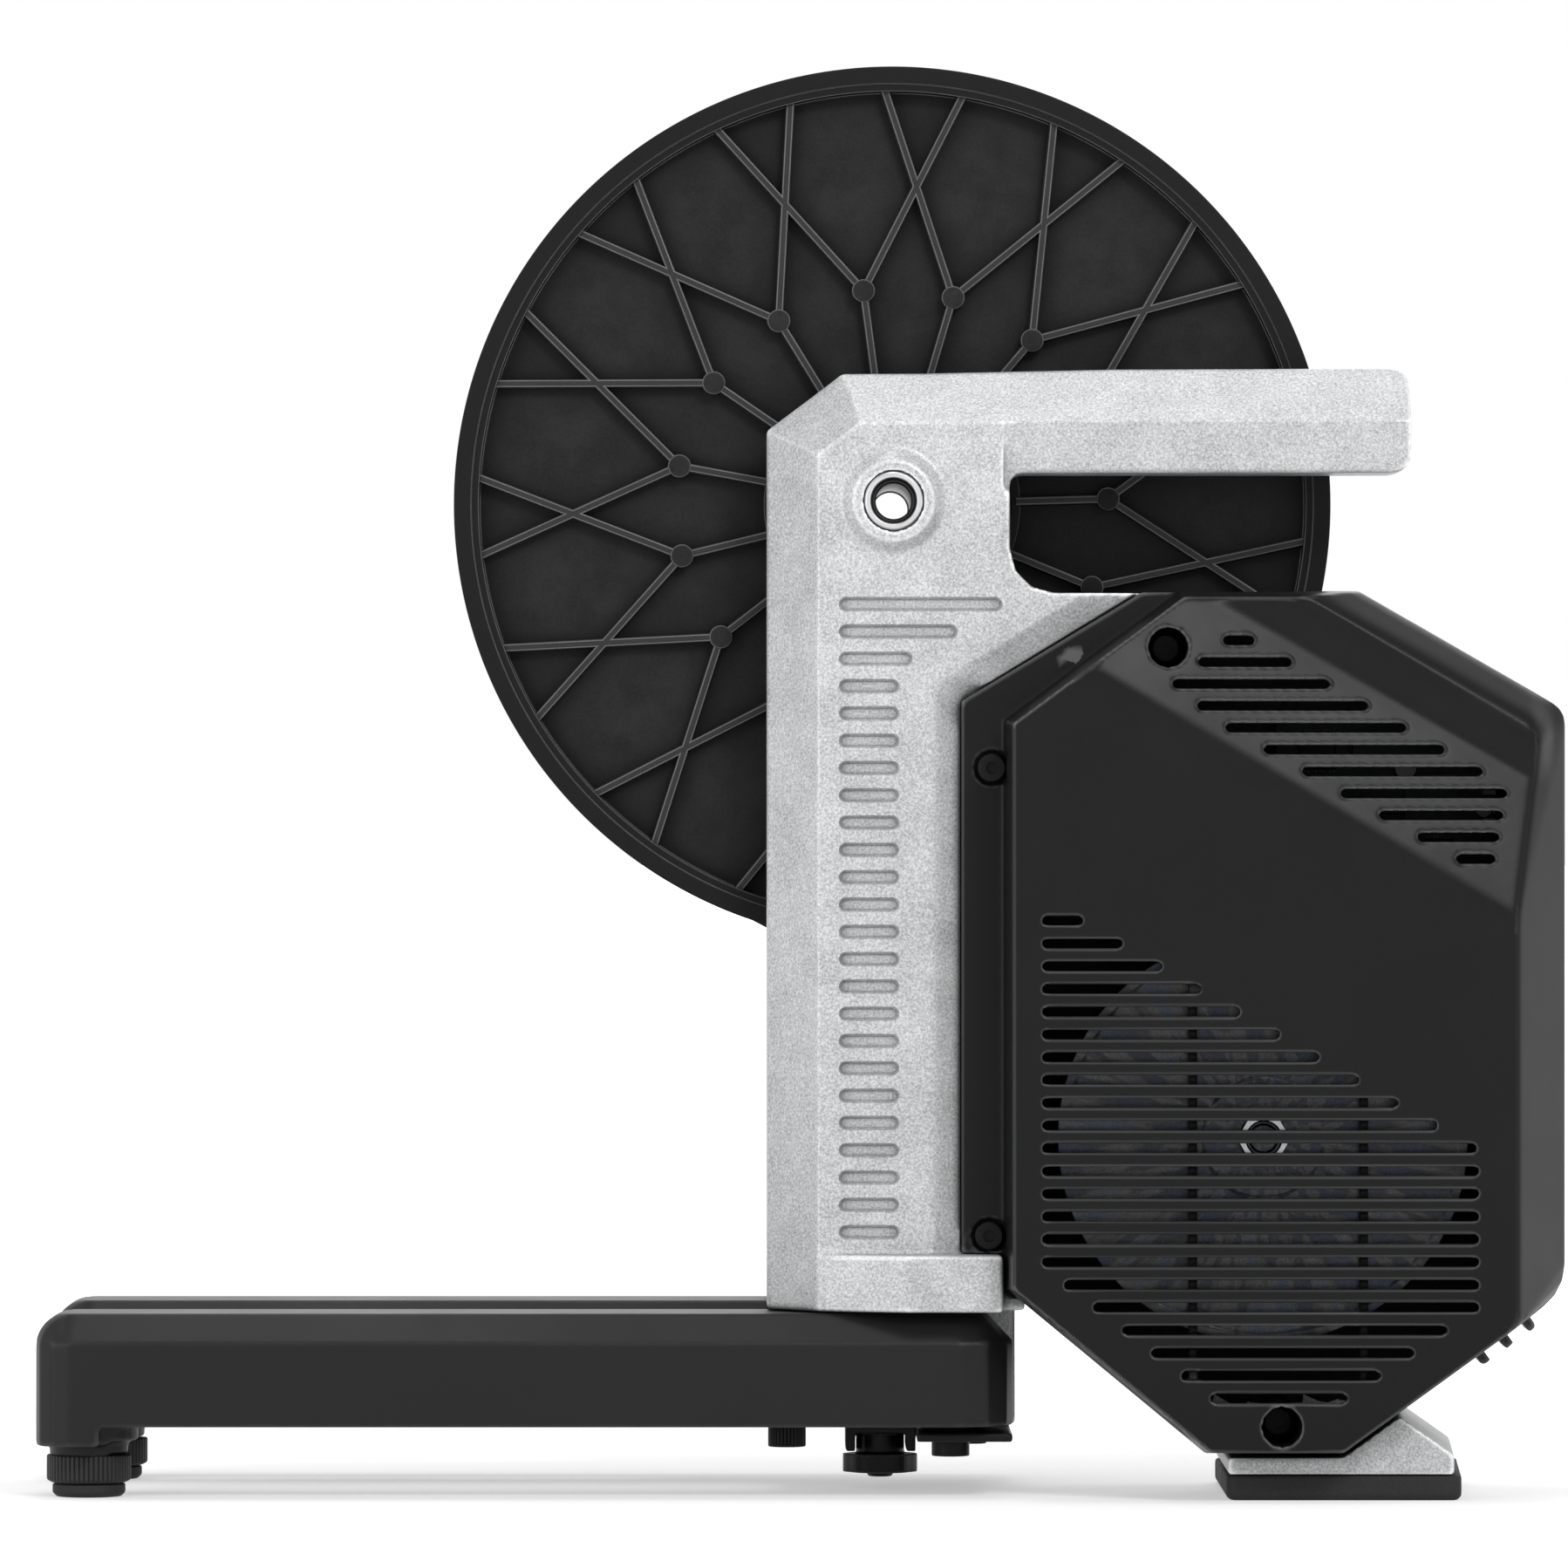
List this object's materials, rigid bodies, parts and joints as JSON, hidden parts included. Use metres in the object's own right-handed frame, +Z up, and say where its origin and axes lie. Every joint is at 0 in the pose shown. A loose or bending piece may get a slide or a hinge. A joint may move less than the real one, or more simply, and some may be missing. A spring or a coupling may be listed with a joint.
{
  "type": "direct drive bike trainer",
  "caption": "Smart bike trainer with a carry handle, exposed ribbed drive disc, vented cover over its flywheel and folding legs.",
  "frame": {"origin": "centre of the bounding box's footprint, on the floor", "axes": "+X towards the rear of the bike, +Y towards the drive side, +Z up"},
  "size_m": [0.5232, 0.174, 0.4933],
  "materials": {
    "silver_paint": "silver metallic paint, satin",
    "black_cover": "black plastic, satin",
    "black_paint": "black paint, satin",
    "disc_plastic": "black plastic, matte",
    "rubber": "matte",
    "steel": "machined",
    "dark_steel": "blackened",
    "copper": "enamelled winding",
    "board": "solder mask"
  },
  "bodies": {
    "frame": {"frame_casting": "silver_paint", "rear_foot_pad": "rubber", "leg_bracket": "dark_steel", "leg_pivot_screw_left": "dark_steel", "leg_pivot_screw_right": "dark_steel", "bracket_screw_1": "dark_steel", "bracket_screw_2": "dark_steel", "axle_shaft": "steel", "axle_cap_left": "steel", "axle_cap_right": "steel", "hub_bearing_left": "steel", "hub_bearing_right": "steel", "freehub_bearing_inner": "steel", "freehub_bearing_outer": "steel", "flywheel_bearing_near": "steel", "flywheel_bearing_far": "steel", "brake_core": "steel", "brake_coil_1": "copper", "brake_coil_2": "copper", "brake_coil_3": "copper", "brake_coil_4": "copper", "brake_coil_5": "copper", "brake_coil_6": "copper", "drive_belt": "rubber", "tensioner_bracket": "dark_steel", "tensioner_bolt": "dark_steel", "circuit_board": "board", "power_socket": "black_cover", "near_cover": "black_cover", "far_cover": "black_cover", "cover_screw_1": "dark_steel", "cover_screw_2": "dark_steel", "cover_screw_3": "dark_steel", "cover_screw_4": "dark_steel", "far_cover_screw_1": "dark_steel", "far_cover_screw_2": "dark_steel", "far_cover_screw_3": "dark_steel"},
    "pulley": {"hub_shell": "silver_paint", "large_pulley": "disc_plastic", "pulley_bolt_1": "dark_steel", "pulley_bolt_2": "dark_steel", "pulley_bolt_3": "dark_steel", "pulley_bolt_4": "dark_steel", "pulley_bolt_5": "dark_steel"},
    "freehub": {"freehub_body": "steel"},
    "flywheel": {"flywheel": "dark_steel", "flywheel_shaft": "steel", "flywheel_nut": "steel", "small_pulley": "dark_steel"},
    "idler": {"idler_pulley": "black_cover"},
    "leg_left": {"leg_left": "black_paint", "leg_stop_screw_left": "dark_steel"},
    "leg_right": {"leg_right": "black_paint", "leg_stop_screw_right": "dark_steel"},
    "foot_left": {"foot_pad_left": "rubber"},
    "foot_right": {"foot_pad_right": "rubber"},
    "wheel_left": {"foot_wheel_left": "black_cover"},
    "wheel_right": {"foot_wheel_right": "black_cover"},
    "knob": {"lock_knob": "black_cover"}
  },
  "joints": [
    {"name": "flywheel_spin", "type": "hinge", "parent": "frame", "child": "flywheel", "pos_m": [0.15735, 0, 0.124], "axis": [0, 1, 0], "continuous": true},
    {"name": "pulley_spin", "type": "hinge", "parent": "frame", "child": "pulley", "pos_m": [0.03185, 0, 0.3413], "axis": [0, 1, 0], "continuous": true},
    {"name": "idler_spin", "type": "hinge", "parent": "frame", "child": "idler", "pos_m": [0.0958, 0, 0.1203], "axis": [0, 1, 0], "continuous": true},
    {"name": "freehub_spin", "type": "hinge", "parent": "frame", "child": "freehub", "pos_m": [0.03185, 0, 0.3413], "axis": [0, 1, 0], "continuous": true},
    {"name": "knob_turn", "type": "hinge", "parent": "frame", "child": "knob", "pos_m": [0.02775, 0.011, 0.01], "axis": [0, 0, -1], "range_deg": [0, 720]},
    {"name": "leg_left_fold", "type": "hinge", "parent": "frame", "child": "leg_left", "pos_m": [0.05155, -0.039, 0.045], "axis": [0, 0, 1], "range_deg": [0, 70]},
    {"name": "foot_left_level", "type": "slide", "parent": "leg_left", "child": "foot_left", "axis": [0, 0, -1], "range_m": [0, 0.01]},
    {"name": "wheel_left_turn", "type": "hinge", "parent": "foot_left", "child": "wheel_left", "pos_m": [-0.24435, -0.039, 0.01], "axis": [0, 0, 1], "range_deg": [0, 2405]},
    {"name": "leg_right_fold", "type": "hinge", "parent": "frame", "child": "leg_right", "pos_m": [0.05155, 0.061, 0.045], "axis": [0, 0, -1], "range_deg": [0, 70]},
    {"name": "foot_right_level", "type": "slide", "parent": "leg_right", "child": "foot_right", "axis": [0, 0, -1], "range_m": [0, 0.01]},
    {"name": "wheel_right_turn", "type": "hinge", "parent": "foot_right", "child": "wheel_right", "pos_m": [-0.24435, 0.061, 0.01], "axis": [0, 0, 1], "range_deg": [0, 2405]}
  ],
  "couplings": [
    {"joint": "pulley_spin", "follows": "flywheel_spin", "ratio": 0.0953},
    {"joint": "idler_spin", "follows": "flywheel_spin", "ratio": -0.8114},
    {"joint": "wheel_left_turn", "follows": "foot_left_level", "rad_per_m": 4188.8},
    {"joint": "wheel_right_turn", "follows": "foot_right_level", "rad_per_m": 4188.8}
  ]
}
